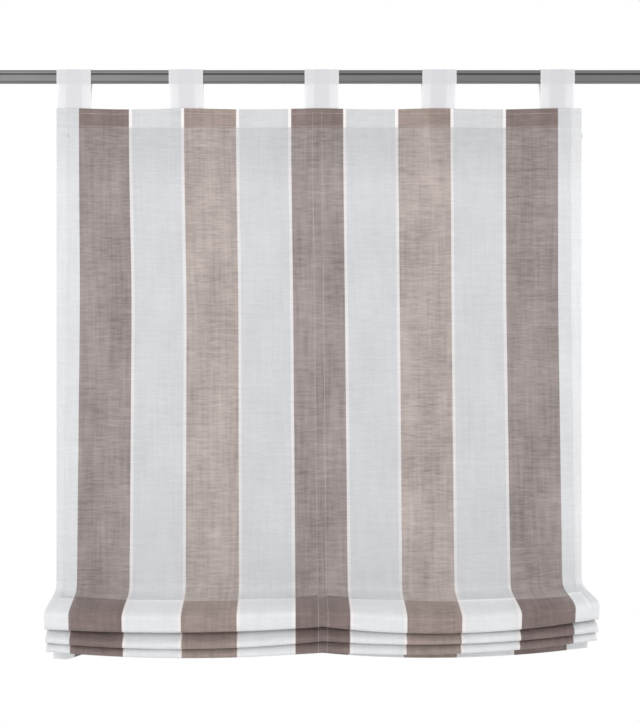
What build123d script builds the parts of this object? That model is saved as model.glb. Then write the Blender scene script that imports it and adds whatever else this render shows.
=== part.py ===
from build123d import *
import os
from math import sqrt

# Tab-top roman blind of sheer striped voile, hung on an aluminium rod and partly raised.
# Millimetres. The origin is the middle of the rod's axis, +X runs along the rod to the
# viewer's right, +Y points to the window behind the blind, and +Z is up.

# ---- cloth ----
panel_width = 1000.0        # finished width of the blind
cloth_thickness = 0.8       # voile, as thick as its slubs
side_hem_width = 20.0       # turned over once down each side
header_top_z = -61.0        # top edge of the panel, under the rod
header_hem = 35.0           # height of the turned-over top hem
header_gap = 1.0            # between that hem and the side hems and tapes below it
fold_gap = 0.6              # between the two layers of a pressed fold
bottom_hem = 30.0           # height of the tunnel that holds the weight cord
hem_end_gap = 4.0           # between the side hems' ends and that tunnel

# ---- raised folds ----
stack_z = -977.0            # where the hanging cloth turns forward into the first fold
row_pitch = 12.0            # height between the gathered ring rows
top_row_rise = 10.0         # the highest gathered row sits that far above the turn
turn_height = 7.6           # of the cloth's turn at a gathered ring row
fold_count = 3
fold_depth = 96.0           # how far forward the first fold's lower edge hangs
fold_depth_step = 7.0       # each fold below is that much shallower
fold_drop = 55.0            # front edge of the first fold under the turn
fold_drop_step = 22.0       # each front edge below is that much lower
shoulder_shares = (1.08, 0.9, 0.9)      # where each fold bends down, as a share of its depth
shoulder_heights = (36.0, 16.0, 16.0)   # of that bend above the fold's lower edge
shoulder_radii = (26.0, 12.0, 12.0)
top_turn_radius = 14.0      # where the hanging cloth turns forward
edge_width = 11.5           # of a fold's lower edge, front to back
edge_dip = 3.0              # its back corner hangs that much lower
edge_radius = 5.0
flap_depth = 26.0           # how far forward the bottom hem hangs
flap_lean = 2.0             # it leans back by that much at its top
flap_turn_drop = 22.0       # from the lowest ring row to where the flap hangs straight
flap_turn_radius = 16.0
flap_bottom_z = -1097.0     # lowest edge of the cloth

# ---- tabs ----
tab_width = 65.0
tab_thickness = 1.2         # two layers of voile
tab_places = (-0.467, -0.2515, 0.005, 0.227, 0.454)   # centres, as shares of the panel's width
tab_join_z = -56.0          # where a tab's front and back legs meet
tab_tail = 38.0             # length sewn behind the header, below that
tab_bend_radius = 12.0      # of each leg under the rod

# ---- rod ----
rod_length = 1290.0
rod_height = 24.0
rod_depth = 16.0
rod_corner = 4.0
rod_wall = 1.6
chamber_corner = 1.5        # inside the two hollows
groove_z = 3.6              # middle of the groove along the front
groove_width = 2.0
groove_depth = 1.5
cap_thickness = 2.5
cap_plug = 12.0
cap_edge = 0.8

# ---- ring tapes, rings and cords ----
tape_width = 17.0
tape_thickness = 0.5
tape_tail = 1.0             # left under the lowest turn
ring_diameter = 12.0
ring_wire = 2.0
hanging_rows = 3            # ring rows that still hang spread out above the folds
guide_z = -118.0            # top row, which stays at the header
guide_space = 137.0         # from the guide rings down to the highest hanging row
cord_diameter = 1.4
knot_over_hole = 1.0        # how much wider a knot is than the hole of its ring
knot_socket = 1.0           # how deep the cord's end sits in its knot
cord_end_z = -92.0
cord_grip_gap = 0.1         # between a cord and the plunger that pinches it

# ---- cord stops ----
stop_length = 17.0
stop_wall = 2.5
stop_cord_hole = 2.4
plunger_diameter = 6.4
plunger_cord_hole = 3.6
button_diameter = 9.0
button_thickness = 3.0
button_round = 1.2
barrel_round = 1.0
button_travel = 2.0
button_room = 0.4           # left under the button when it is pressed in
spring_wire = 0.6
spring_turns = 4

# ---- weight cord ----
weight_diameter = 3.0
weight_short = 10.0         # shorter than the panel at each end
weight_room = 0.4           # round the weight cord in its tunnel

# ---- fits ----
clearance = 0.3
knot_play = 0.15            # round the cord's end in its knot

# ---- worked out from the sizes above ----
back_of_header = fold_gap + cloth_thickness
tab_y = back_of_header + clearance + tab_thickness
tape_x = panel_width / 2 - side_hem_width / 2
columns = {"left": -tape_x, "centre": 0.0, "right": tape_x}
turn_radius = 0.32 * turn_height
hanging_top_z = header_top_z - header_hem - header_gap
last_row_z = stack_z - fold_count * row_pitch
tape_end_z = last_row_z - turn_height / 2 - tape_tail
hem_gap = weight_diameter + 2 * weight_room
bottom_inner_z = flap_bottom_z + cloth_thickness
side_hem_end_z = bottom_inner_z + bottom_hem + hem_end_gap
lower_chamber = (-rod_height / 2 + rod_wall, groove_z - groove_width / 2 - rod_wall)
upper_chamber = (groove_z + groove_width / 2 + rod_wall, rod_height / 2 - rod_wall)

# Ring rows from the lowest: those gathered in the folds, then those still spread out.
top_row_z = stack_z + top_row_rise
row_heights = [stack_z - k * row_pitch for k in range(fold_count, 0, -1)] + [top_row_z]
ring_spacing = (guide_z - guide_space - top_row_z) / hanging_rows
row_heights += [top_row_z + k * ring_spacing for k in range(1, hanging_rows + 1)]

# A knot sits in its ring: its ball touches the ring's round wire all but for the clearance.
knot_diameter = ring_diameter - 2 * ring_wire + knot_over_hole
ring_radius = (ring_diameter - ring_wire) / 2
knot_reach = (knot_diameter + ring_wire) / 2 + clearance
knot_z = last_row_z - sqrt(knot_reach**2 - ring_radius**2)

# A cord stop is as thick as the rings, so both lie against the tape; then sizes along its
# barrel, from the cord's middle.
stop_diameter = ring_diameter
stop_z = guide_z + ring_wire / 2 + clearance + stop_diameter / 2
bore_radius = plunger_diameter / 2 + clearance
bore_bottom_x = -stop_length / 2 + stop_wall
plunger_end_x = -plunger_cord_hole / 2
button_inner_x = stop_length / 2 + button_travel + button_room


def tape_back(column):
    """How far behind the cloth's own back face the back of a ring tape lies."""
    under = 0.0 if column == "centre" else cloth_thickness
    return under + tape_thickness


def ring_y(column):
    return tape_back(column) + clearance + ring_diameter / 2


# ------------------------------------------------------------------ cloth section
def fold_points():
    """Corners (y, z, radius) of the back face from the first bend to the last ring row."""
    corners = [(0.0, stack_z, top_turn_radius)]
    for k in range(fold_count):
        depth = fold_depth - k * fold_depth_step
        edge_z = stack_z - fold_drop - k * fold_drop_step
        shoulder_y = -shoulder_shares[k] * depth
        corners.append((shoulder_y, edge_z + shoulder_heights[k], shoulder_radii[k]))
        corners.append((-depth, edge_z, edge_radius))
        corners.append((-depth + edge_width, edge_z - edge_dip, edge_radius))
        row_z = stack_z - (k + 1) * row_pitch
        corners.append((0.0, row_z + turn_height / 2, turn_radius))
        corners.append((0.0, row_z - turn_height / 2, turn_radius))
    return corners


def flap_points():
    """The bend below the last ring row, where the cloth turns down to its bottom hem."""
    return [(-flap_depth + flap_lean, tape_end_z - flap_turn_drop, flap_turn_radius)]


def section_path(start, corners, end):
    """A line through the corners in the YZ plane, each rounded to its own radius."""
    points = [start] + [(y, z) for y, z, _ in corners] + [end]
    radii = [r for _, _, r in corners]
    return FilletPolyline(*[(0.0, y, z) for y, z in points], radius=radii)


def side_line(wire, offset):
    """The wire moved sideways; positive is the left of its travel, which is the window side."""
    heading = wire % 0
    start = (wire @ 0) + Vector(0, -heading.Z, heading.Y) * offset
    for side in (Side.LEFT, Side.RIGHT):
        moved = wire.offset_2d(abs(offset), kind=Kind.ARC, side=side, closed=False)
        for first, last in ((0, 1), (1, 0)):
            if (moved @ first - start).length < 0.01:
                return moved, moved @ first, moved @ last
    raise ValueError(f"no line {offset} mm beside the section")


def strip(path, front, back, width, x=0.0):
    """A band that follows the section from its front offset to its back one, width wide about x."""
    wire = Wire(path.edges())
    lines = [
        side_line(wire, offset) if offset else (wire, wire @ 0, wire @ 1)
        for offset in (front, back)
    ]
    (near, near_start, near_end), (far, far_start, far_end) = lines
    ends = [Edge.make_line(near_start, far_start), Edge.make_line(near_end, far_end)]
    face = make_face(near.edges() + far.edges() + ends)
    return Pos(x, 0, 0) * extrude(face, amount=width / 2, dir=(1, 0, 0), both=True)


# ------------------------------------------------------------------ cloth and tapes
def blind_cloth():
    """One length of voile: top hem, hanging panel, three folds, and the hem for the weight cord."""
    fold_top = header_top_z - cloth_thickness
    corner = fold_gap / 2 - 0.01
    header = [(fold_gap, fold_top, corner), (0.0, fold_top, corner)]
    tunnel_back = -flap_depth + hem_gap
    tunnel_corner = hem_gap / 2 - 0.05
    tunnel = [
        (-flap_depth, bottom_inner_z, tunnel_corner),
        (tunnel_back, bottom_inner_z, tunnel_corner),
    ]
    path = section_path(
        (fold_gap, header_top_z - header_hem),
        header + fold_points() + flap_points() + tunnel,
        (tunnel_back, bottom_inner_z + bottom_hem),
    )
    print("cut length of the cloth", round(path.length, 1))
    cloth = strip(path, -cloth_thickness, 0.0, panel_width)
    hem_path = section_path(
        (0.0, hanging_top_z), fold_points() + flap_points(), (-flap_depth, side_hem_end_z)
    )
    hem_x = (panel_width - side_hem_width) / 2
    for x in (-hem_x, hem_x):
        cloth += strip(hem_path, 0.0, cloth_thickness, side_hem_width, x)
    return cloth


def ring_tape(column):
    """A narrow woven tape sewn down the back; it carries that column's rings."""
    path = section_path((0.0, hanging_top_z), fold_points()[:-1], (0.0, tape_end_z))
    back = tape_back(column)
    return strip(path, back - tape_thickness, back, tape_width, columns[column])


# ------------------------------------------------------------------ rod and tabs
def rod_outline(shrink=0.0):
    """The rod's section, or the same section drawn in all round."""
    radius = rod_corner - shrink
    return Plane.YZ * RectangleRounded(rod_depth - 2 * shrink, rod_height - 2 * shrink, radius)


def chamber(low, high):
    """A hollow of the rod between two heights, as a sketch of the section."""
    middle = Location((0, 0, (low + high) / 2))
    return middle * (Plane.YZ * RectangleRounded(rod_depth - 2 * rod_wall, high - low, chamber_corner))


def curtain_rod():
    """Aluminium extrusion with a groove along its front and a web behind the groove."""
    groove = Plane.YZ * Rectangle(2 * groove_depth, groove_width)
    section = rod_outline() - Location((0, -rod_depth / 2, groove_z)) * groove
    section -= chamber(*lower_chamber)
    section -= chamber(*upper_chamber)
    return extrude(section, amount=rod_length / 2, dir=(1, 0, 0), both=True)


def rod_cap(side):
    """End cap: a plate as large as the rod's section and a plug in its lower hollow."""
    plate = extrude(rod_outline(), amount=cap_thickness, dir=(1, 0, 0))
    plate = chamfer(plate.faces().sort_by(Axis.X)[-1].edges(), cap_edge)
    low, high = lower_chamber
    plug_section = Location((0, 0, (low + high) / 2)) * (Plane.YZ * RectangleRounded(
        rod_depth - 2 * rod_wall - 2 * clearance, high - low - 2 * clearance, chamber_corner - clearance
    ))
    plug = extrude(plug_section, amount=cap_plug, dir=(-1, 0, 0))
    cap = Pos(rod_length / 2, 0, 0) * (plate + plug)
    return cap if side > 0 else mirror(cap, about=Plane.YZ)


def tab(x):
    """A doubled strip over the rod; its two legs meet and run down behind the header."""
    reach_y = rod_depth / 2 + clearance
    top_z = rod_height / 2 + clearance
    corners = [
        (tab_y, tab_join_z, 0.0),
        (reach_y, -rod_height / 2, tab_bend_radius),
        (reach_y, top_z, rod_corner + clearance),
        (-reach_y, top_z, rod_corner + clearance),
        (-reach_y, -rod_height / 2, tab_bend_radius),
    ]
    opening = make_face(FilletPolyline(
        *[(0.0, y, z) for y, z, _ in corners], radius=[r for _, _, r in corners], close=True
    ).edges())
    loop = offset(opening, amount=tab_thickness, kind=Kind.ARC)
    tail_height = tab_tail + tab_thickness
    tail = Location((0, tab_y, tab_join_z + tab_thickness - tail_height / 2)) * (
        Plane.YZ * Rectangle(2 * tab_thickness, tail_height)
    )
    section = loop + tail - opening
    return Pos(x, 0, 0) * extrude(section, amount=tab_width / 2, dir=(1, 0, 0), both=True)


# ------------------------------------------------------------------ rings and cords
def ring_row(z):
    """One ring behind each tape, lying flat so that its cord runs straight through."""
    rings = [
        Pos(x, ring_y(column), z) * Torus((ring_diameter - ring_wire) / 2, ring_wire / 2)
        for column, x in columns.items()
    ]
    return Compound(children=rings)


def lift_cord(column):
    """The cord from its knot under the last ring up through its stop."""
    low = knot_z + knot_diameter / 2 - knot_socket
    cord = Cylinder(cord_diameter / 2, cord_end_z - low, align=(Align.CENTER, Align.CENTER, Align.MIN))
    return Pos(columns[column], ring_y(column), low) * cord


def cord_knots():
    """The knots that the last rings rest on, one on each cord."""
    socket = Pos(0, 0, knot_diameter / 2 - knot_socket) * Cylinder(
        cord_diameter / 2 + knot_play, 2 * knot_socket, align=(Align.CENTER, Align.CENTER, Align.MIN)
    )
    knots = [
        Pos(x, ring_y(column), knot_z) * (Sphere(knot_diameter / 2) - socket)
        for column, x in columns.items()
    ]
    return Compound(children=knots)


def weight_cord():
    """Weighted cord that lies in the bottom of its tunnel."""
    y = -flap_depth + hem_gap / 2
    z = bottom_inner_z + weight_room + weight_diameter / 2
    half = panel_width / 2 - weight_short
    return Pos(-half, y, z) * along_x(weight_diameter / 2, 2 * half)


# ------------------------------------------------------------------ cord stops
def along_x(radius, length):
    """A round bar that starts at the origin and runs along +X."""
    return Plane.YZ * Cylinder(radius, length, align=(Align.CENTER, Align.CENTER, Align.MIN))


def stop_place(column):
    return Pos(columns[column], ring_y(column), stop_z)


def cord_stop_body(column):
    """Barrel with a blind bore for the plunger and a hole across it for the cord."""
    body = Pos(-stop_length / 2, 0, 0) * along_x(stop_diameter / 2, stop_length)
    ends = body.edges().filter_by(GeomType.CIRCLE)
    body = fillet(ends, barrel_round)
    body -= Pos(bore_bottom_x, 0, 0) * along_x(bore_radius, stop_length)
    body -= Cylinder(stop_cord_hole / 2, 2 * stop_diameter)
    return stop_place(column) * body


def cord_stop_button(column):
    """Plunger and button in one: pressed in, its own hole lines up with the barrel's."""
    plunger = Pos(plunger_end_x, 0, 0) * along_x(plunger_diameter / 2, button_inner_x - plunger_end_x)
    grip_x = (plunger_cord_hole - cord_diameter) / 2 - cord_grip_gap
    plunger -= Pos(grip_x, 0, 0) * Cylinder(plunger_cord_hole / 2, 2 * stop_diameter)
    button = Pos(button_inner_x, 0, 0) * along_x(button_diameter / 2, button_thickness)
    button = fillet(button.faces().sort_by(Axis.X)[-1].edges(), button_round)
    return stop_place(column) * (plunger + button)


def cord_stop_spring(column):
    """Compression spring between the bore's floor and the plunger."""
    length = plunger_end_x - bore_bottom_x - spring_wire
    radius = bore_radius - clearance - spring_wire / 2
    coil = Helix(length / spring_turns, length, radius)
    wire_section = Plane(origin=coil @ 0, z_dir=coil % 0) * Circle(spring_wire / 2)
    spring = sweep(wire_section, path=coil, is_frenet=True)
    spring = Rotation(0, 90, 0) * spring
    return stop_place(column) * (Pos(bore_bottom_x + spring_wire / 2, 0, 0) * spring)


parts = {
    "curtain_rod": curtain_rod(),
    "rod_cap_left": rod_cap(-1),
    "rod_cap_right": rod_cap(1),
    "blind_cloth": blind_cloth(),
    "weight_cord": weight_cord(),
    "cord_knots": cord_knots(),
    "guide_rings": ring_row(guide_z),
}
for number, place in enumerate(tab_places, start=1):
    parts[f"tab_{number}"] = tab(place * panel_width)
for number, z in enumerate(row_heights, start=1):
    parts[f"ring_row_{number}"] = ring_row(z)
for column in columns:
    parts[f"ring_tape_{column}"] = ring_tape(column)
    parts[f"lift_cord_{column}"] = lift_cord(column)
    parts[f"cord_stop_body_{column}"] = cord_stop_body(column)
    parts[f"cord_stop_button_{column}"] = cord_stop_button(column)
    parts[f"cord_stop_spring_{column}"] = cord_stop_spring(column)

os.makedirs("parts", exist_ok=True)
for name, shape in parts.items():
    shape.label = name
    export_step(shape, f"parts/{name}.step")
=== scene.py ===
import math
import bpy
import bmesh
import numpy as np
from mathutils import Matrix, Vector


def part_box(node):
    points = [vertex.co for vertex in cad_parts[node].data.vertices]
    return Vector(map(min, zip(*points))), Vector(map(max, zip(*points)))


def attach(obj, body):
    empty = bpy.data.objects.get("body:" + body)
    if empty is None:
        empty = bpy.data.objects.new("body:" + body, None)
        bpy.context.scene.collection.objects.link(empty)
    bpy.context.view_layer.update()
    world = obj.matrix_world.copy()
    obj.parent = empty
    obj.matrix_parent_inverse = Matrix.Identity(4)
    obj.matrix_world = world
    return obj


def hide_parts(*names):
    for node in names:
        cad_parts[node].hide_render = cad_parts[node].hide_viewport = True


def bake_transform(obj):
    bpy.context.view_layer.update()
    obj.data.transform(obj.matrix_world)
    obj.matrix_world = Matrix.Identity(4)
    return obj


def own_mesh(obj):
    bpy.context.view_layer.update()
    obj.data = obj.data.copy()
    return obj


# A roman blind of striped voile, hung by five tabs on an aluminium rod and partly raised.
# Metres. +X runs along the rod, +Y points to the window behind the blind, +Z is up.

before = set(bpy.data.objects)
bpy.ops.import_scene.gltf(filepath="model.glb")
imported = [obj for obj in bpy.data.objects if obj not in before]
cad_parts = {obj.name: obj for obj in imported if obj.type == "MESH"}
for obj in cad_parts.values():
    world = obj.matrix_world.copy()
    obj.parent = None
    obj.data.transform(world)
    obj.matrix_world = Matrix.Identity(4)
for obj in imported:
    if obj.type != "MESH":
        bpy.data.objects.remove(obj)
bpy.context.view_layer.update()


def middle(node):
    low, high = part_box(node)
    return (Vector(low) + Vector(high)) / 2


clothHigh = Vector(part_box("blind_cloth")[1])
rodLow, rodHigh = (Vector(corner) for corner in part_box("curtain_rod"))
halfWidth = clothHigh.x
headerTop = clothHigh.z
rowHeights = [middle(f"ring_row_{n}").z for n in range(1, 8)]  # from the lowest row up
guideHeight = middle("guide_rings").z
columns = {side: middle(f"ring_tape_{side}").x for side in ("left", "centre", "right")}
tabPlaces = [middle(f"tab_{n}").x for n in range(1, 6)]
turnHeight = rowHeights[3] - 0.010  # 10 mm under row 4, the hanging cloth turns forward


class Signal:
    # one output socket; Python's operators add the Math nodes
    def __init__(self, finish, socket):
        self.finish, self.socket = finish, socket

    def math(self, operation, *values, clamp=False):
        inputs = dict(enumerate(values))
        return self.finish.node("Math", {"operation": operation, "use_clamp": clamp}, inputs)

    def __add__(self, other):
        return self.math("ADD", self, other)

    def __sub__(self, other):
        return self.math("SUBTRACT", self, other)

    def __rsub__(self, other):
        return self.math("SUBTRACT", other, self)

    def __mul__(self, other):
        return self.math("MULTIPLY", self, other)

    def __gt__(self, other):
        return self.math("GREATER_THAN", self, other)

    __radd__ = __add__
    __rmul__ = __mul__

    def size(self):
        return self.math("ABSOLUTE", self)

    def wave(self):
        return self.math("SINE", self)

    def highest(self, other):
        return self.math("MAXIMUM", self, other)

    def lowest(self, other):
        return self.math("MINIMUM", self, other)

    def within(self, half, soft):
        # 1 where the value is inside +-half, with an edge as wide as soft
        return self.math("MULTIPLY_ADD", half - self.size(), 1 / soft, 0.5, clamp=True)


class Finish:
    # a material and the one way nodes are added to it
    def __init__(self, name):
        self.material = bpy.data.materials.new(name)
        self.material.use_nodes = True
        self.tree = self.material.node_tree
        self.tree.nodes.clear()

    def node(self, kind, settings=None, inputs=None, output=0):
        node = self.tree.nodes.new("ShaderNode" + kind)
        for key, value in (settings or {}).items():
            setattr(node, key, value)
        for key, value in (inputs or {}).items():
            if isinstance(value, Signal):
                self.tree.links.new(value.socket, node.inputs[key])
            else:
                node.inputs[key].default_value = value
        return Signal(self, node.outputs[output]) if node.outputs else None

    def axes(self, vector):
        return [self.node("SeparateXYZ", None, {0: vector}, output=i) for i in range(3)]

    def spot(self):
        return self.node("TexCoord", output="Object")

    def cut(self):
        return self.node("UVMap", {"uv_map": "cut"})  # metres across and along the flat cut

    def stretch(self, vector, factors):
        return self.node("VectorMath", {"operation": "MULTIPLY"}, {0: vector, 1: factors})

    def noise(self, vector, detail=2.0, roughness=0.5):
        inputs = {"Vector": vector, "Scale": 1.0, "Detail": detail, "Roughness": roughness}
        return self.node("TexNoise", {"noise_dimensions": "3D"}, inputs, output="Fac")

    def blend(self, factor, first, second, way="MIX"):
        settings = {"data_type": "RGBA", "blend_type": way}
        return self.node("Mix", settings, {0: factor, 6: first, 7: second}, output=2)

    def bump(self, height, strength, distance):
        inputs = {"Strength": strength, "Distance": distance, "Height": height}
        return self.node("Bump", None, inputs)

    def surface(self, inputs):
        shader = self.node("BsdfPrincipled", None, inputs)
        self.node("OutputMaterial", None, {"Surface": shader})
        return self.material


def rgb(red, green, blue):
    return (red, green, blue, 1.0)


def finishPiece(name, bm, finish, body=None):
    mesh = bpy.data.meshes.new(name)
    bm.to_mesh(mesh)
    bm.free()
    mesh.materials.append(finish)
    mesh.shade_smooth()
    piece = bpy.data.objects.new(name, mesh)
    bpy.context.scene.collection.objects.link(piece)
    if body:
        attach(piece, body)
    return piece


def shapedGrid(places, across, along, creases=()):
    # a grid of quads moved onto places[column, row]; its map is in metres across and along,
    # and it is creased down the columns listed
    columnCount, rowCount = places.shape[:2]
    bm = bmesh.new()
    bmesh.ops.create_grid(bm, x_segments=columnCount - 1, y_segments=rowCount - 1, size=1)
    cut = bm.loops.layers.uv.new("cut")
    spots, columnOf = {}, {}
    for vert in bm.verts:
        column = round((vert.co.x + 1) / 2 * (columnCount - 1))
        row = round((1 - vert.co.y) / 2 * (rowCount - 1))
        spots[vert], columnOf[vert] = (across[column], along[row]), column
        vert.co = places[column, row]
    for face in bm.faces:
        for loop in face.loops:
            loop[cut].uv = spots[loop.vert]
    for edge in bm.edges:
        first, last = (columnOf[vert] for vert in edge.verts)
        edge.smooth = first != last or first not in creases
    return bm


def flowing(corners, steps):
    # quadratic B-spline shaped by corners[..., corner, xyz] and clamped at both ends
    middles = (corners[..., 1:, :] + corners[..., :-1, :]) / 2
    middles[..., 0, :], middles[..., -1, :] = corners[..., 0, :], corners[..., -1, :]
    line = []
    for k in range(1, corners.shape[-2] - 1):
        for t in np.arange(steps) / steps:
            line.append((1 - t) ** 2 * middles[..., k - 1, :] + t ** 2 * middles[..., k, :]
                        + 2 * t * (1 - t) * corners[..., k, :])
    line.append(middles[..., -1, :])
    return np.stack(line, axis=-2)


def lengthsAlong(line):
    steps = np.linalg.norm(np.diff(line, axis=0), axis=1)
    return np.concatenate([[0.0], np.cumsum(steps)])


def tubePlaces(line, radius, sides):
    # rings of points round a line, turned with it
    points = np.asarray(line, float)
    heading = np.gradient(points, axis=0)
    heading /= np.linalg.norm(heading, axis=1, keepdims=True)
    upright = np.abs(heading[:, 2:3]) > 0.9
    guide = np.where(upright, np.array([[0.0, 1.0, 0.0]]), np.array([[0.0, 0.0, 1.0]]))
    first = np.cross(heading, guide)
    first /= np.linalg.norm(first, axis=1, keepdims=True)
    second = np.cross(heading, first)
    angles = np.linspace(0, 2 * math.pi, sides + 1)
    ring = [points + radius * (math.cos(a) * first + math.sin(a) * second) for a in angles]
    return np.stack(ring)


def tubePiece(line, radius, sides):
    places = tubePlaces(line, radius, sides)
    bm = shapedGrid(places, np.linspace(0, 2 * math.pi * radius, sides + 1), lengthsAlong(line))
    bmesh.ops.remove_doubles(bm, verts=bm.verts[:], dist=radius * 0.01)
    ends = [edge for edge in bm.edges if edge.is_boundary]
    bmesh.ops.holes_fill(bm, edges=ends, sides=0)
    bmesh.ops.recalc_face_normals(bm, faces=bm.faces[:])
    return bm


tape = {
    "width": 0.017,
    "gap": 0.0007,
    "columns": 5,
    "edge": 0.0016,  # width of the woven edge
    "edgeSoft": 0.0006,
    "threadPitch": 0.0012,
    "endReach": 0.0015,  # it ends where the cloth last comes this near to its hanging plane
}

voile = {
    "stripePitch": 0.203,  # between neighbouring stripes, dark and light by turns
    "stripeHalf": 0.0493,
    "satinWidth": 0.0058,  # bright woven border at each side of a stripe
    "darkTaupe": rgb(0.185, 0.140, 0.132),
    "lightTaupe": rgb(0.280, 0.222, 0.198),
    "sheer": rgb(0.462, 0.474, 0.494),
    "satin": rgb(0.610, 0.590, 0.595),
    "darkAlpha": 0.88,
    "lightAlpha": 0.86,
    "sheerAlpha": 0.84,
    "satinAlpha": 0.95,
    # painted light: how much brighter these parts are painted, for how much more light comes
    # back from two layers than from one
    "headerLift": 0.40,
    "hemLift": 0.47,
    # painted light: the right hem is painted lighter than the left, to make up for the key light
    # from the left
    "rightHemLift": 0.60,
    "marginLift": 0.17,  # of the strip between the last stripe and the side hem
    "stackLift": 0.59,
    "stripeStackLift": 0.08,
    "satinStackLift": 0.22,
    "warmth": 0.035,  # doubled layers look less blue
    "paintedLitTaupe": rgb(0.250, 0.210, 0.203),  # the dark stripe where a tape lies behind it, painted lighter and denser: painted light over the shade that the tape and the cord stop would show through the cloth
    "backedAlpha": 0.97,
    "backedFrom": 0.0738,  # along the cut, just past the doubled header
    "stopRoom": 0.009,  # half the height and half the width hidden in front of the cord stop
    "stopReach": 0.016,
    "topLift": 0.03,
    "fade": 0.060,  # the cloth darkens by this for each metre down
    "fadeEnd": 0.95,
    "shade": 0.15,  # of the header and the cloth just under it
    "shadeEnd": 0.150,
    "shadeFade": 0.080,
    "sheerMottle": 0.60,
    "stripeMottle": 2.10,
    "threadPitch": 0.0009,
    "edgeSoft": 0.0012,
    "hemSoft": 0.0006,
    "backedRoom": 0.0006,  # painted beyond each edge of a tape
    # shares of the mottle, and the half of their sum, which keeps it about zero
    "slubs": 0.40,
    "picks": 0.22,
    "ends": 0.26,
    "clouds": 0.34,
    "level": 0.61,
    "headerStripe": 0.5,  # share of the header's lift that a stripe loses
    "blueLoss": 1.6,
    "thin": 0.30,  # how far the mottle thins a stripe
    "densest": 0.98,
}


def weaveHeight(across, along, pitch):
    # over and under of plain weave
    turns = 2 * math.pi / pitch
    return (across * turns).wave() * (along * turns).wave()


def stripedVoile(stackAlong):
    paint = Finish("striped_voile")
    cut = paint.cut()
    across, along, _ = paint.axes(cut)
    out = (across - flatHalf).size()  # distance from the middle of the cut
    soft = voile["edgeSoft"]
    half, pitch, satin = voile["stripeHalf"], voile["stripePitch"], voile["satinWidth"]
    dark = out.within(half, soft).highest((out - 2 * pitch).within(half, soft))
    light = (out - pitch).within(half, soft)
    wide = [out.within(half + satin, soft)]
    wide += [(out - k * pitch).within(half + satin, soft) for k in (1, 2)]
    bordered = wide[0].highest(wide[1]).highest(wide[2])

    slubs = paint.noise(paint.stretch(cut, (42.0, 290.0, 1.0)), detail=2.0, roughness=0.6)
    picks = paint.noise(paint.stretch(cut, (11.0, 120.0, 1.0)), detail=2.0)
    ends = paint.noise(paint.stretch(cut, (170.0, 9.0, 1.0)), detail=2.0)
    clouds = paint.noise(paint.stretch(cut, (17.0, 8.0, 1.0)), detail=2.0)
    shade = (slubs * voile["slubs"] + picks * voile["picks"] + ends * voile["ends"]
             + clouds * voile["clouds"] - voile["level"])
    hemSoft = voile["hemSoft"]
    headed = (along - headerFront).within(headerLength / 2 + hemSoft, hemSoft)
    hemmed = out > halfWidth - cloth["sideHem"]
    stacked = along > stackAlong
    margin = out > 2 * pitch + half
    bordered = bordered * (1 - margin)

    colour = paint.blend(bordered, voile["sheer"], voile["satin"])
    colour = paint.blend(light, colour, voile["lightTaupe"])
    colour = paint.blend(dark, colour, voile["darkTaupe"])
    # painted light: over each tape and in front of the middle cord stop, the dark stripe is
    # painted lighter and denser where their shade would show through
    hanging = (along > voile["backedFrom"]) * (1 - stacked)
    paintedLitPatch = out.within(tape["width"] / 2 + voile["backedRoom"], soft)
    stopSpot = headerLength + headerTop + cloth["headerRise"] - middle("cord_stop_body_centre").z
    nearStop = (along - stopSpot).within(voile["stopRoom"], soft)
    paintedLitPatch = paintedLitPatch.highest(out.within(voile["stopReach"], soft) * nearStop) * hanging
    colour = paint.blend(paintedLitPatch, colour, voile["paintedLitTaupe"])
    striped = dark.highest(light)
    mottle = voile["sheerMottle"] + striped * (voile["stripeMottle"] - voile["sheerMottle"])
    depth = along.lowest(voile["fadeEnd"])
    shaded = along.within(voile["shadeEnd"], voile["shadeFade"]) * voile["shade"]
    lift = 1 + voile["topLift"] - depth * voile["fade"] + shade * mottle - shaded
    # painted light: the header, the side hems, the margin strips and the stack of folds are
    # painted brighter
    paintedLayerLight = headed * voile["headerLift"] * (1 - voile["headerStripe"] * striped)
    # painted light: the right hem is painted lighter, to make up for the key light from the left
    rightward = across > flatHalf
    inHem = voile["hemLift"] + rightward * (voile["rightHemLift"] - voile["hemLift"])
    paintedLayerLight = paintedLayerLight.highest(hemmed * inHem).highest(margin * voile["marginLift"])
    inStack = voile["stackLift"] + bordered * (voile["satinStackLift"] - voile["stackLift"])
    inStack = inStack + striped * (voile["stripeStackLift"] - voile["satinStackLift"])
    paintedLayerLight = paintedLayerLight.highest(stacked * inStack)
    lift = lift + paintedLayerLight
    warm = paintedLayerLight * voile["warmth"]
    cool = lift - warm * voile["blueLoss"]
    grey = paint.node("CombineColor", None, {0: lift + warm, 1: lift, 2: cool})
    colour = paint.blend(1.0, colour, grey, "MULTIPLY")

    alpha = voile["sheerAlpha"] + bordered * (voile["satinAlpha"] - voile["sheerAlpha"])
    alpha = alpha + light * (voile["lightAlpha"] - voile["satinAlpha"])
    alpha = alpha + dark * (voile["darkAlpha"] - voile["satinAlpha"])
    alpha = alpha - shade * striped * voile["thin"]
    alpha = alpha.highest(paintedLitPatch * voile["backedAlpha"])
    height = weaveHeight(across, along, voile["threadPitch"]) * 0.35 + slubs * 0.65
    return paint.surface({
        "Base Color": colour,
        "Alpha": alpha.lowest(voile["densest"]),
        "Roughness": 0.82 - bordered * 0.22,
        "Specular IOR Level": 0.25,
        "Sheen Weight": 0.15,
        "Normal": paint.bump(height, 0.35, 0.0006),
    })


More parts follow.
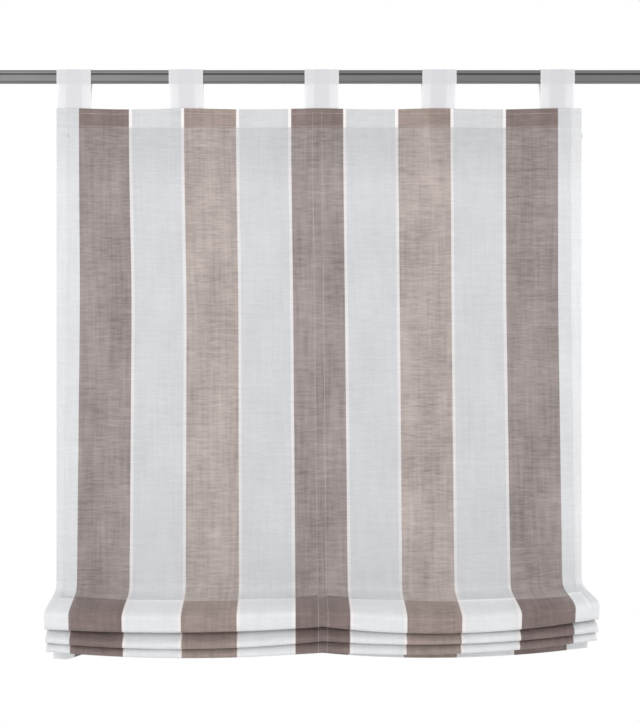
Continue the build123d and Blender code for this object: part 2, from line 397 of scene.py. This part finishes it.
def plainVoile():
    paint = Finish("tab_voile")
    cut = paint.cut()
    across, along, _ = paint.axes(cut)
    out = across - tabs["width"] / 2
    seam = out.within(tabs["seamWidth"] / 2, tabs["seamSoft"])
    edge = 1 - out.within(tabs["width"] / 2 - tabs["edge"], tabs["edgeSoft"])
    slubs = paint.noise(paint.stretch(cut, (40.0, 700.0, 1.0)), detail=3.0)
    colour = paint.blend(seam, rgb(0.735, 0.737, 0.750), rgb(0.640, 0.640, 0.672))
    colour = paint.blend(edge * 0.6, colour, rgb(0.78, 0.78, 0.80))
    height = weaveHeight(across, along, voile["threadPitch"]) * 0.5 + slubs * 0.5
    return paint.surface({
        "Base Color": colour,
        "Alpha": 0.74 + seam * 0.09 + slubs * 0.05,
        "Roughness": 0.8,
        "Specular IOR Level": 0.25,
        "Normal": paint.bump(height + seam * 0.8, 0.35, 0.0005),
    })


groove = {"height": 0.0034, "half": 0.0016, "soft": 0.0008, "dark": 0.8}  # painted shade of the groove along the rod's front


def brushedRod():
    paint = Finish("rod_aluminium")
    spot = paint.spot()
    drawn = paint.noise(paint.stretch(spot, (3.0, 900.0, 900.0)), detail=3.0, roughness=0.65)
    smudge = paint.noise(paint.stretch(spot, (14.0, 60.0, 60.0)), detail=2.0)
    colour = paint.blend(drawn, rgb(0.112, 0.114, 0.112), rgb(0.176, 0.178, 0.174))
    _, _, high = paint.axes(spot)
    grooveShade = (high - groove["height"]).within(groove["half"], groove["soft"])  # painted shade in the groove
    colour = paint.blend(grooveShade * groove["dark"], colour, rgb(0.020, 0.020, 0.020))
    return paint.surface({
        "Base Color": colour,
        "Metallic": 0.55,
        "Roughness": 0.42 + smudge * 0.16,
        "Normal": paint.bump(drawn, 0.18, 0.0003),
    })


def mouldedPlastic(name, colour, darker, roughness):
    paint = Finish(name)
    spot = paint.spot()
    flow = paint.noise(paint.stretch(spot, (180.0, 180.0, 180.0)), detail=2.0)
    grain = paint.noise(paint.stretch(spot, (2600.0, 2600.0, 2600.0)), detail=2.0)
    return paint.surface({
        "Base Color": paint.blend(flow, colour, darker),
        "Roughness": roughness + grain * 0.12,
        "Normal": paint.bump(grain, 0.10, 0.0002),
    })


def springSteel():
    paint = Finish("spring_steel")
    spot = paint.spot()
    drawn = paint.noise(paint.stretch(spot, (900.0, 900.0, 900.0)), detail=3.0)
    return paint.surface({
        "Base Color": paint.blend(drawn, rgb(0.45, 0.45, 0.46), rgb(0.62, 0.62, 0.63)),
        "Metallic": 0.95,
        "Roughness": 0.26 + drawn * 0.16,
        "Normal": paint.bump(drawn, 0.12, 0.0001),
    })


def braidedCord(name, colour, pitch):
    paint = Finish(name)
    across, along, _ = paint.axes(paint.cut())
    turns = 2 * math.pi / pitch
    strands = ((across + along) * turns).wave() * ((across - along) * turns).wave()
    fibre = paint.noise(paint.stretch(paint.cut(), (2200.0, 900.0, 1.0)), detail=2.0)
    # painted shade: the braid is painted darker in the valleys between its strands
    valleyTone = tuple(value * 0.80 for value in colour[:3]) + (1.0,)
    return paint.surface({
        "Base Color": paint.blend(strands * 0.5 + 0.5, valleyTone, colour),
        "Roughness": 0.70 + fibre * 0.15,
        "Normal": paint.bump(strands + fibre * 0.4, 0.5, 0.0002),
    })


def wovenTape():
    paint = Finish("tape")
    cut = paint.cut()
    across, along, _ = paint.axes(cut)
    out = across - tape["width"] / 2
    edge = 1 - out.within(tape["width"] / 2 - tape["edge"], tape["edgeSoft"])
    height = weaveHeight(across, along, tape["threadPitch"])
    fleck = paint.noise(paint.stretch(cut, (500.0, 500.0, 1.0)), detail=2.0)
    colour = paint.blend(fleck, rgb(0.76, 0.76, 0.78), rgb(0.84, 0.84, 0.86))
    return paint.surface({
        "Base Color": colour,
        "Alpha": 0.62 + edge * 0.12 + fleck * 0.06,
        "Roughness": 0.8,
        "Specular IOR Level": 0.2,
        "Normal": paint.bump(height, 0.4, 0.0004),
    })


def sewingThread(name, colour):
    paint = Finish(name)
    spot = paint.spot()
    ply = paint.noise(paint.stretch(spot, (2500.0, 2500.0, 2500.0)), detail=2.0)
    # darker in the valleys of the ply's bump
    valleyTone = tuple(value * 0.85 for value in colour[:3]) + (1.0,)
    return paint.surface({
        "Base Color": paint.blend(ply, valleyTone, colour),
        "Roughness": 0.55 + ply * 0.2,
        "Normal": paint.bump(ply, 0.3, 0.0001),
    })


shot = {
    "place": (-0.051, -2.08, -0.541),
    "middleX": 0.0019,  # of the picture, where the blind hangs
    "seenWidth": 1.2192,
    "sensor": 36.0,
}


def addCamera():
    camera = bpy.data.cameras.new("camera")
    camera.sensor_fit = "HORIZONTAL"
    camera.sensor_width = shot["sensor"]
    camera.lens = shot["sensor"] * -shot["place"][1] / shot["seenWidth"]
    camera.shift_x = (shot["middleX"] - shot["place"][0]) / shot["seenWidth"]
    holder = bpy.data.objects.new("camera", camera)
    holder.location = shot["place"]
    holder.rotation_euler = (math.pi / 2, 0, 0)
    bpy.context.scene.collection.objects.link(holder)
    bpy.context.scene.camera = holder


studio = {
    "skyStrength": 1.0,
    "floorHeight": -1.62,
    "floorRadius": 1.05,
    "lights": (  # name, place, aimed at, size, watts
        ("key", (-1.2, -2.6, 0.2), (0.0, 0.0, -0.55), 1.2, 26.0),
        ("fill", (1.9, -2.2, -0.2), (0.0, 0.0, -0.65), 1.4, 7.0),
        ("window", (0.2, 2.4, 0.6), (0.0, 0.0, -0.5), 1.8, 14.0),
    ),
}


def addStudio():
    scene = bpy.context.scene
    scene.view_settings.view_transform = "Standard"
    scene.world = bpy.data.worlds.new("studio")
    scene.world.use_nodes = True
    sky = scene.world.node_tree.nodes["Background"]
    sky.inputs["Color"].default_value = rgb(1.0, 1.0, 1.0)
    sky.inputs["Strength"].default_value = studio["skyStrength"]
    for name, place, target, size, watts in studio["lights"]:
        light = bpy.data.lights.new(name, "AREA")
        light.shape = "DISK"
        light.size, light.energy = size, watts
        lamp = bpy.data.objects.new(name, light)
        lamp.location = place
        lamp.visible_camera = False
        aim = Vector(target) - Vector(place)
        lamp.rotation_euler = aim.to_track_quat("-Z", "Y").to_euler()
        scene.collection.objects.link(lamp)
    paint = Finish("floor")
    specks = paint.noise(paint.stretch(paint.spot(), (30.0, 30.0, 30.0)), detail=3.0)
    colour = paint.blend(specks, rgb(0.80, 0.80, 0.80), rgb(0.84, 0.84, 0.84))
    surface = paint.surface({"Base Color": colour, "Roughness": 0.9})
    bm = bmesh.new()
    spot = Matrix.Translation((0, 0, studio["floorHeight"]))
    bmesh.ops.create_circle(bm, cap_ends=True, segments=96,
                            radius=studio["floorRadius"], matrix=spot)
    finishPiece("floor", bm, surface)


addCamera()
addStudio()
print("camera and studio ready")


cloth = {
    "sideHem": 0.020,
    "hemGap": 0.0006,  # from the front layer back to a turned hem
    "headerHem": 0.035,
    "headerGap": 0.0014,
    "headerRise": 0.0016,
    "bottomHem": 0.030,
    "tunnelDepth": 0.0046,
    "columnWidth": 0.010,
    "runStep": 0.060,  # between the bends that shape the hanging run
    "ripple": 0.0016,
    # size, turn for each metre across, start, and lean from top to bottom of each wave
    "waves": ((1.0, 19.0, 0.8, 2.2), (0.6, 43.0, 2.0, -3.0), (0.4, 87.0, 1.3, 5.0)),
    "waveShape": 0.7,  # under 1, so the waves keep their depth nearer to the top and the turn
    "headerDip": 0.0022,  # of the top edge between two tabs
    "dipShape": 1.5,  # over 1, so the edge stays level beside a tab
    "lipRound": 0.001,  # the corners beside the top edge lie this far under it
    "lipNip": 0.0002,
    "lipEnd": 0.012,
    "stackFront": -0.036,  # layers lie over one another in front of this
    "steps": 4,
    "hemRamp": 0.002,  # width over which a side hem parts from the front
    # y from the hanging plane and z from the turn, where the cloth bends forward
    "turnCorners": ((0.0, 0.030), (-0.0010, 0.008), (-0.0120, -0.003)),
    # midway between the tapes the turn and the rows hang lower, the rows lie further forward
    # and the folds lose a share of their depth
    "turnSag": 0.004,
    "rowSag": 0.011,
    "innerSag": 0.004,
    "depthLoss": 0.03,
    # the tapes hold the stack at x = left, centre and right; drops are below the turn
    "folds": (
        {"depth": 0.095, "drops": (0.0505, 0.0470, 0.0320), "sags": (0.0095, 0.0200),
         "shoulder": (1.05, 0.034)},
        {"depth": 0.090, "drops": (0.0765, 0.0745, 0.0570), "sags": (0.0142, 0.0148),
         "shoulder": (0.90, 0.016)},
        {"depth": 0.082, "drops": (0.0950, 0.0968, 0.0745), "sags": (0.0126, 0.0146),
         "shoulder": (0.90, 0.016)},
    ),
    "flap": {"depth": 0.028, "drops": (0.1120, 0.1128, 0.1017), "sags": (0.0090, 0.0141),
             "droop": 0.012, "droopFrom": -0.440, "droopWidth": 0.030, "rightDepth": 0.25},
    "endSpread": 0.08,  # the folds come forward by this share at the blind's ends
    "rightRise": 0.011,  # of the turn above the stack, at the right end
    "edgeWidth": 0.0115,  # of a fold's lower edge, front to back
    "edgeDip": 0.003,
    "bulge": 0.001,  # of a fold's front, at this share of its shoulder's height
    "bulgeAt": 0.45,
    "underReach": 0.030,  # of a fold's underside: back from its front, and up
    "underRise": 0.006,
    "hairpin": 0.0038,  # half the height of the cloth's turn at a ring row
    "hairpinReach": 0.010,
    "hairpinDroop": 0.001,
    "rightFlare": 0.005,
    # the outer stripes draw in a little in the folds
    "pinchAt": (-0.50, -0.46, -0.44, -0.36, 0.36, 0.44, 0.46, 0.50),
    "pinch": (0.0, -0.0045, -0.0045, 0.0, 0.0, 0.0045, 0.0045, 0.0),
    # the part of the cloth that hangs from this far under the guide rings to this far over the
    # turn
    "guideDrop": 0.002,
    "turnRise": 0.015,
    # sideways wander of the woven stripes at these places across. It is nothing at driftNone
    # under the top, and grows to driftTop up at driftFull and to driftLow down at the turn
    "driftNone": 0.36,
    "driftFull": 0.08,
    "driftAt": (-0.50, -0.48, -0.41, -0.205, 0.0, 0.205, 0.41, 0.48, 0.50),
    "driftTop": (0.0, 0.0, -0.0057, -0.0045, -0.0035, -0.0025, 0.0, 0.0, 0.0),
    "driftLow": (0.0, -0.0060, -0.0057, 0.0, 0.0057, 0.0045, 0.0095, 0.0076, 0.0),
}
flatHalf = halfWidth + cloth["sideHem"]
headerLength = cloth["headerHem"] + cloth["headerRise"]
headerFront = headerLength * 1.5  # middle of the header's front layer, along the cut
clothFront = -0.0004  # middle of the single layer where it hangs


def swag(x):
    # 0 at the three tapes, 1 midway between them
    share = np.clip(np.abs(x) / columns["right"], 0, 1)
    return 4 * share * (1 - share)


def heldLine(x, drops, sags):
    # a line held at the three tapes that sags between them
    held = np.interp(x, (columns["left"], 0.0, columns["right"]), drops)
    return held + swag(x) * np.where(x < 0, sags[0], sags[1])


def topEdge(x):
    # the top edge dips a little wherever no tab holds it
    tops = np.zeros_like(x)
    for low, high in zip(tabPlaces[:-1], tabPlaces[1:]):
        share = np.clip((x - low) / (high - low), 0, 1)
        tops = np.maximum(tops, np.sin(share * math.pi) ** cloth["dipShape"])
    return headerTop + cloth["headerRise"] - cloth["headerDip"] * tops


def drift(x, height):
    # sideways wander of the weave, over the hanging run and the folds below it
    middleHeight = headerTop - cloth["driftNone"]
    fullHeight = headerTop - cloth["driftFull"]
    top = np.clip((height - middleHeight) / (fullHeight - middleHeight), 0, 1)
    low = np.clip((middleHeight - height) / (middleHeight - turnHeight), 0, 1)
    return (top * np.interp(x, cloth["driftAt"], cloth["driftTop"])
            + low * np.interp(x, cloth["driftAt"], cloth["driftLow"]))


def ripples(x, height):
    # soft upright waves between the tapes, deepest halfway down
    run = np.clip((headerTop - height) / (headerTop - turnHeight), 0, 1)
    waves = sum(size * np.sin(x * rate + start + lean * run)
                for size, rate, start, lean in cloth["waves"])
    deep = np.sin(run * math.pi) ** cloth["waveShape"]
    return cloth["ripple"] * waves * np.sqrt(swag(x)) * deep


def flapLine(x):
    # depth and lower edge of the bottom hem, which drops at the left end
    flap = cloth["flap"]
    lean = np.clip(x / columns["right"], 0, 1)
    droop = np.clip((flap["droopFrom"] - x) / flap["droopWidth"], 0, 1)
    bottom = turnHeight - heldLine(x, flap["drops"], flap["sags"]) - flap["droop"] * droop
    return flap["depth"] * (1 + flap["rightDepth"] * lean ** 2), bottom


def clothCorners(x):
    # control points [column, corner, xyz] from the header's back layer to the bottom hem
    zero = np.zeros_like(x)
    top = topEdge(x)
    back = clothFront + cloth["headerGap"]
    hemEnd = headerTop - cloth["headerHem"] + zero
    corners = [
        (back + zero, hemEnd),
        (back + zero, (hemEnd + top) / 2),
        (back + zero, top - cloth["lipRound"]),
        (back + zero - cloth["lipNip"], top),
        (clothFront + zero + cloth["lipNip"], top),
        (clothFront + zero, top - cloth["lipRound"]),
        (clothFront + zero, top - cloth["lipEnd"]),
    ]
    height = headerTop - cloth["headerHem"]
    while height > turnHeight + cloth["runStep"]:
        corners.append((clothFront + ripples(x, height + zero), height + zero))
        height -= cloth["runStep"]
    sink = swag(x)
    lean = np.clip(x / columns["right"], 0, 1)
    turn = turnHeight - cloth["turnSag"] * sink + cloth["rightRise"] * lean ** 4
    corners += [(clothFront + y + zero, turn + z) for y, z in cloth["turnCorners"]]
    hairpin, reach = cloth["hairpin"], cloth["hairpinReach"]
    for k, fold in enumerate(cloth["folds"]):
        outward = np.clip(np.abs(x) / halfWidth, 0, 1)
        depth = fold["depth"] * (1 + cloth["endSpread"] * outward ** 3)
        depth = depth * (1 - cloth["depthLoss"] * sink)
        edge = turnHeight - heldLine(x, fold["drops"], fold["sags"])
        out, rise = fold["shoulder"]
        row = rowHeights[2 - k] - cloth["rowSag"] * sink
        inner = clothFront - cloth["innerSag"] * sink
        under = edge - cloth["edgeDip"]
        corners += [
            (-out * depth, edge + rise),
            (-depth - cloth["bulge"], edge + rise * cloth["bulgeAt"]),
            (-depth, edge),
            (-depth + cloth["edgeWidth"], under),
            (-depth + cloth["underReach"], under + cloth["underRise"]),
            (inner - reach, row + hairpin - cloth["hairpinDroop"]),
            (inner, row + hairpin),
            (inner, row - hairpin),
            (inner - reach, row - hairpin - cloth["hairpinDroop"]),
        ]
    corners.pop()  # the flap leaves the lowest row by corners of its own
    depth, bottom = flapLine(x)
    row, tunnel = rowHeights[0], cloth["tunnelDepth"]
    # down from the row, then round the tunnel that holds the weighted cord
    corners += [
        (clothFront - 0.004 + zero, row - 0.014),
        (-depth + 0.003, row - 0.027 - 0.004 * sink),
        (-depth, bottom + 0.022),
        (-depth, bottom + 0.001),
        (-depth + 0.0003, bottom),
        (-depth + tunnel - 0.0003, bottom),
        (-depth + tunnel, bottom + 0.002),
        (-depth + tunnel * 0.8, bottom + 0.018),
        (-depth + 0.0012, bottom + cloth["bottomHem"]),
    ]
    y = np.stack([np.broadcast_to(c[0], x.shape) for c in corners], axis=1)
    z = np.stack([np.broadcast_to(c[1], x.shape) for c in corners], axis=1)
    side = np.broadcast_to(x[:, None], y.shape)
    flare = cloth["rightFlare"] * np.clip(x / halfWidth, 0, 1) ** 4
    flare = (flare - np.interp(x, cloth["pinchAt"], cloth["pinch"]))[:, None]
    forward = np.clip(-y / cloth["folds"][0]["depth"], 0, 1)
    return np.stack([side + drift(side, z) + flare * forward, y, z], axis=2)


def clothSurface(x):
    # the cloth's middle surface [column, row, xyz] and its back-facing normals in the YZ plane
    places = flowing(clothCorners(x), cloth["steps"])
    along = np.gradient(places, axis=1)
    backward = np.stack([np.zeros(along.shape[:2]), -along[..., 2], along[..., 1]], axis=2)
    backward /= np.linalg.norm(backward, axis=2, keepdims=True) + 1e-12
    return places, backward


def makeCloth():
    count = round(2 * flatHalf / cloth["columnWidth"])
    across = np.linspace(-flatHalf, flatHalf, count + 1)
    x = np.where(np.abs(across) > halfWidth, np.sign(across) * 2 * halfWidth - across, across)
    places, backward = clothSurface(x)
    hemmed = np.clip((np.abs(across) - halfWidth) / cloth["hemRamp"], 0, 1)
    places = places + backward * cloth["hemGap"] * hemmed[:, None, None]
    line = places[len(across) // 4]
    along = lengthsAlong(line)
    stackAlong = along[np.argmax(line[:, 1] < cloth["stackFront"])]
    hems = np.flatnonzero(np.isclose(np.abs(across), halfWidth))
    bm = shapedGrid(places, across + flatHalf, along, creases=hems)
    piece = finishPiece("striped_cloth", bm, stripedVoile(stackAlong))
    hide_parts("blind_cloth")
    return piece, along[-1]


def hangOnLift(piece):
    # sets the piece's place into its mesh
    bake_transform(piece)
    return piece


stripedCloth, cutLength = makeCloth()
hangOnLift(stripedCloth)
print("striped cloth", round(2 * flatHalf, 3), "x", round(cutLength, 3), "m")


frontRow = 5 * cloth["steps"]  # the cloth's first row on the header's front layer


def makeTape(side):
    x = columns[side] + np.linspace(-tape["width"] / 2, tape["width"] / 2, tape["columns"])
    places, backward = clothSurface(x)
    under = cloth["hemGap"] if side != "centre" else 0.0
    middleColumn = places[tape["columns"] // 2]
    rows = np.arange(len(middleColumn))
    started = (rows > frontRow) & (middleColumn[:, 2] < headerTop - cloth["headerHem"])
    first = rows[started][0]
    lowest = rows[middleColumn[:, 1] > clothFront - tape["endReach"]][-1]
    places = places + backward * (tape["gap"] + under)
    places = places[:, first:lowest + 1]
    along = lengthsAlong(places[tape["columns"] // 2])
    bm = shapedGrid(places, x - x[0], along)
    piece = finishPiece(f"tape_{side}", bm, tapeFinish)
    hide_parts(f"ring_tape_{side}")
    return hangOnLift(piece), along[-1]


tapeFinish = wovenTape()
tapes, tapeLengths = zip(*(makeTape(side) for side in columns))
print("ring tapes", [round(length, 3) for length in tapeLengths], "m long")


tabs = {
    "width": 0.065,
    "seamWidth": 0.030,  # where the seam allowances lie inside
    "seamSoft": 0.0015,
    "edge": 0.003,
    "edgeSoft": 0.001,
    "layer": 0.0010,
    "ease": 0.0009,  # off the rod all round
    "joinHeight": -0.056,
    "waist": 0.010,  # how much the strip narrows below the rod
    "legApart": 0.55,  # of a leg from the middle of the two, in layers
    "tailRise": 0.001,
    "shoulder": 0.004,
    "crown": 0.0002,
    "bend": 0.0006,  # of the front leg, which waves this fast across the strip
    "bendRate": 5.0,
    "tilt": 0.0016,  # sideways, by another amount for each tab
    "tiltStep": 2.1,
    "steps": 5,
    "columns": 13,
}


def tabCorners(lean):
    # section of the strip from the back leg's tail, over the rod, to the front leg's tail
    reach = rodHigh.y + tabs["ease"]
    top = rodHigh.z + tabs["ease"]
    shoulder = top - tabs["shoulder"]
    under = rodLow.z + 0.001
    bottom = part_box("tab_1")[0][2] + tabs["tailRise"]
    join = tabs["joinHeight"]
    halfway = (join + rodLow.z) / 2
    apart = tabs["layer"] * tabs["legApart"]
    back = [(tabY + apart, bottom), (tabY + apart, join), (reach * 0.55, halfway),
            (reach, under), (reach, 0.0), (reach, shoulder), (reach, top), (reach * 0.5, top)]
    front = [(-reach * 0.5, top), (-reach, top), (-reach, shoulder), (-reach, 0.0),
             (-reach, under), (-reach * 0.45 + lean, halfway),
             (tabY - apart, join), (tabY - apart, bottom)]
    return back + [(0.0, top + tabs["crown"])] + front


def makeTab(number):
    low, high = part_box(f"tab_{number}")
    across = np.linspace(0, tabs["width"], tabs["columns"])
    share = across / tabs["width"] * 2 - 1
    lean = tabs["bend"] * np.sin(share * tabs["bendRate"] + number)
    section = np.array([[(0.0, y, z) for y, z in tabCorners(bend)] for bend in lean])
    places = flowing(section, tabs["steps"])
    # the strip is drawn in slightly below the rod, where nothing spreads it
    opening = (places[..., 2] - tabs["joinHeight"]) / (rodLow.z - tabs["joinHeight"])
    opening = np.clip(opening, 0, 1)
    waist = 1 - tabs["waist"] * np.sin(opening * math.pi)
    tilt = tabs["tilt"] * math.sin(number * tabs["tiltStep"]) * opening
    places[..., 0] = (low[0] + high[0]) / 2 + share[:, None] * tabs["width"] / 2 * waist + tilt
    along = lengthsAlong(places[len(across) // 2])
    bm = shapedGrid(places, across, along)
    piece = finishPiece(f"tab_loop_{number}", bm, tabFinish, "root")
    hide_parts(f"tab_{number}")
    return piece, along[-1]


tabY = 0.0029  # middle of the two legs where they are sewn behind the header
tabFinish = plainVoile()
loops = [makeTab(number) for number in range(1, 6)]
print("tabs", len(loops), "each", round(loops[0][1], 3), "m long")


ringPlastic = mouldedPlastic("ring_plastic", rgb(0.72, 0.72, 0.71), rgb(0.64, 0.64, 0.63), 0.30)
stopPlastic = mouldedPlastic("stop_plastic", rgb(0.78, 0.78, 0.78), rgb(0.72, 0.72, 0.72), 0.34)
capPlastic = mouldedPlastic("cap_plastic", rgb(0.11, 0.11, 0.11), rgb(0.15, 0.15, 0.15), 0.40)
hardFinishes = {
    "curtain_rod": brushedRod(),
    "rod_cap": capPlastic,
    "ring_row": ringPlastic,
    "guide_rings": ringPlastic,
    "cord_stop_body": stopPlastic,
    "cord_stop_button": stopPlastic,
}
for name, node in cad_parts.items():
    for start, finish in hardFinishes.items():
        if name.startswith(start):
            for place in node.material_slots:
                place.material = finish
print("hard parts painted")


cords = {"diameter": 0.0014, "sides": 8, "points": 40, "pitch": 0.0011, "travel": 0.55}
knots = {"size": 0.0011, "thread": 0.0008, "turns": 56, "flat": 1.4,
         "tail": 0.012, "tailTop": 0.003, "tailSway": 0.0006, "tailPoints": 10}


def makeCord(side):
    low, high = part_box(f"lift_cord_{side}")
    x, y = (low[0] + high[0]) / 2, (low[1] + high[1]) / 2
    line = [(x, y, z) for z in np.linspace(low[2], high[2], cords["points"])]
    bm = tubePiece(line, cords["diameter"] / 2, cords["sides"])
    piece = finishPiece(f"cord_{side}", bm, cordFinish, "root")
    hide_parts(f"lift_cord_{side}")
    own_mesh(piece)
    return piece


def makeKnot(side):
    # an overhand knot drawn up under the last ring, with a short tail
    low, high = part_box(f"lift_cord_{side}")
    centre = np.array([(low[0] + high[0]) / 2, (low[1] + high[1]) / 2, knotHeight])
    angles = np.linspace(0, 2 * math.pi, knots["turns"] + 1)
    loop = np.stack([np.sin(angles) + 2 * np.sin(2 * angles),
                     np.cos(angles) - 2 * np.cos(2 * angles),
                     -knots["flat"] * np.sin(3 * angles)], axis=1)
    bm = tubePiece(centre + loop * knots["size"], knots["thread"], cords["sides"])
    tail = [centre + np.array([knots["tailSway"] * math.sin(t * 3), 0.0,
                               knots["tailTop"] - t * knots["tail"]])
            for t in np.linspace(0, 1, knots["tailPoints"])]
    tailMesh = bpy.data.meshes.new("tail")
    end = tubePiece(tail, cords["diameter"] / 2, cords["sides"])
    end.to_mesh(tailMesh)
    end.free()
    bm.from_mesh(tailMesh)
    piece = finishPiece(f"knot_{side}", bm, cordFinish, "fold_stack")
    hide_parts("cord_knots")
    return piece


weight = {"inset": 0.010, "rise": 0.0024, "radius": 0.0015, "points": 90, "sides": 8,
          "pitch": 0.0024}


def makeHemWeight():
    # a weighted cord in the bottom hem, which it follows up and down
    end = halfWidth - weight["inset"]
    x = np.linspace(-end, end, weight["points"])
    depth, bottom = flapLine(x)
    line = np.stack([x, -depth + cloth["tunnelDepth"] / 2, bottom + weight["rise"]], axis=1)
    bm = tubePiece(line, weight["radius"], weight["sides"])
    piece = finishPiece("hem_weight", bm, weightFinish, "fold_stack")
    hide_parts("weight_cord")
    return piece


springs = {"wire": 0.0003, "turns": 4, "points": 20, "sides": 8, "travel": 0.002}


def makeSpring(side):
    # a coil between the stop's body and its button
    low, high = (Vector(corner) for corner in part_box(f"cord_stop_spring_{side}"))
    spot = (low + high) / 2
    radius = (high.z - low.z) / 2 - springs["wire"]
    angles = np.linspace(0, 2 * math.pi * springs["turns"], springs["turns"] * springs["points"])
    along = np.linspace(low.x + springs["wire"], high.x - springs["wire"], len(angles))
    line = np.stack([along, spot.y + radius * np.cos(angles), spot.z + radius * np.sin(angles)],
                    axis=1)
    bm = tubePiece(line, springs["wire"], springs["sides"])
    piece = finishPiece(f"spring_{side}", bm, springFinish, "root")
    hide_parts(f"cord_stop_spring_{side}")
    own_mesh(piece)


knotHeight = middle("cord_knots").z
springFinish = springSteel()
cordFinish = braidedCord("lift_cord", rgb(0.78, 0.78, 0.77), cords["pitch"])
weightFinish = braidedCord("weight_sleeve", rgb(0.66, 0.66, 0.67), weight["pitch"])
for side in columns:
    makeCord(side)
    makeKnot(side)
    makeSpring(side)
makeHemWeight()
print("cords, knots, springs and hem weight ready")


ties = {
    "thread": 0.00025,
    "turns": (-0.0012, 0.0, 0.0012),
    "points": 18,
    "sides": 5,
    "toWire": 0.005,  # from the middle of the cord to the middle of the ring's wire
    "overWire": 0.0013,
    "ease": 0.0002,
    "slant": 0.0006,
    "halfHeight": 0.0014,
    "weld": 0.00004,
}


def makeTies(name, height, body):
    bm = bmesh.new()
    for side, x in columns.items():
        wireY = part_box(f"lift_cord_{side}")[0][1] + cords["diameter"] / 2 - ties["toWire"]
        backY = wireY + ties["overWire"]
        tapeY = clothFront + tape["gap"] + (cloth["hemGap"] if side != "centre" else 0.0)
        reach = (backY - tapeY) / 2 + ties["ease"]
        for shift in ties["turns"]:
            angles = np.linspace(0, 2 * math.pi, ties["points"] + 1)
            line = [(x + shift + ties["slant"] * math.sin(a),
                     (backY + tapeY) / 2 + reach * math.cos(a),
                     height + ties["halfHeight"] * math.sin(a)) for a in angles]
            places = tubePlaces(line[:-1] + [line[0]], ties["thread"], ties["sides"])
            around = np.linspace(0, 1, ties["sides"] + 1)
            turn = shapedGrid(places, around, np.linspace(0, 1, len(line)))
            mesh = bpy.data.meshes.new("turn")
            turn.to_mesh(mesh)
            turn.free()
            bm.from_mesh(mesh)
    bmesh.ops.remove_doubles(bm, verts=bm.verts[:], dist=ties["weld"])
    bmesh.ops.recalc_face_normals(bm, faces=bm.faces[:])
    return finishPiece(name, bm, whiteThread, body)


whiteThread = sewingThread("white_thread", rgb(0.80, 0.80, 0.80))
makeTies("ties_guide", guideHeight, "root")
for number, height in enumerate(rowHeights, start=1):
    makeTies(f"ties_{number}", height, "fold_stack" if number < 5 else f"ring_row_{number}_body")
print("ring ties", len(rowHeights) + 1)


seams = {"stitch": 0.0028, "gap": 0.0010, "thread": 0.00028, "front": 0.0005,
         "topDrop": 0.0095, "hemInset": 0.0010, "sideInset": 0.0015, "start": 0.001,
         "endGap": 0.002, "points": 240}


def makeSeam(name, line):
    # one small long bead for each stitch along the line
    lengths = lengthsAlong(line)
    pitch = seams["stitch"] + seams["gap"]
    bm = bmesh.new()
    for start in np.arange(seams["start"], lengths[-1] - seams["stitch"], pitch):
        ends = [[np.interp(at, lengths, line[:, axis]) for axis in range(3)]
                for at in (start, start + seams["stitch"])]
        first, last = Vector(ends[0]), Vector(ends[1])
        turn = (last - first).to_track_quat("Z", "Y").to_matrix().to_4x4()
        scale = Matrix.Diagonal((seams["thread"], seams["thread"], seams["stitch"] / 2, 1))
        spot = Matrix.Translation((first + last) / 2) @ turn @ scale
        bmesh.ops.create_icosphere(bm, subdivisions=1, radius=1, matrix=spot)
    piece = finishPiece(name, bm, paleThread)
    return hangOnLift(piece)


def downSeam(name, across):
    places, backward = clothSurface(np.array([across]))
    line = (places - backward * seams["front"])[0]
    hemRows = 7 * cloth["steps"]  # from the bottom hem's lower part to the cut's end
    return makeSeam(name, line[frontRow:-hemRows])


def acrossSeam(name, drop):
    # runs this far under the top edge, on the front of the header
    end = halfWidth - seams["endGap"]
    x = np.linspace(-end, end, seams["points"])
    places, backward = clothSurface(x)
    # as many rows again as lie before the front layer reach past the header's hem
    front = (places - backward * seams["front"])[:, frontRow:2 * frontRow]
    line = [[np.interp(drop - edge, -column[:, 2], column[:, axis]) for axis in range(3)]
            for column, edge in zip(front, topEdge(x))]
    return makeSeam(name, np.array(line))


paleThread = sewingThread("pale_thread", rgb(0.80, 0.78, 0.78))
half = halfWidth - cloth["sideHem"] + seams["sideInset"]
tapeHalf = tape["width"] / 2
downSeams = {"side_left": -half, "side_right": half,
             "centre_left": -tapeHalf, "centre_right": tapeHalf}
seamPieces = [downSeam(f"seam_{name}", x) for name, x in downSeams.items()]
seamPieces.append(acrossSeam("seam_top", seams["topDrop"]))
seamPieces.append(acrossSeam("seam_header", cloth["headerHem"] - seams["hemInset"]))
print("seams", len(seamPieces))


print("pieces ready")
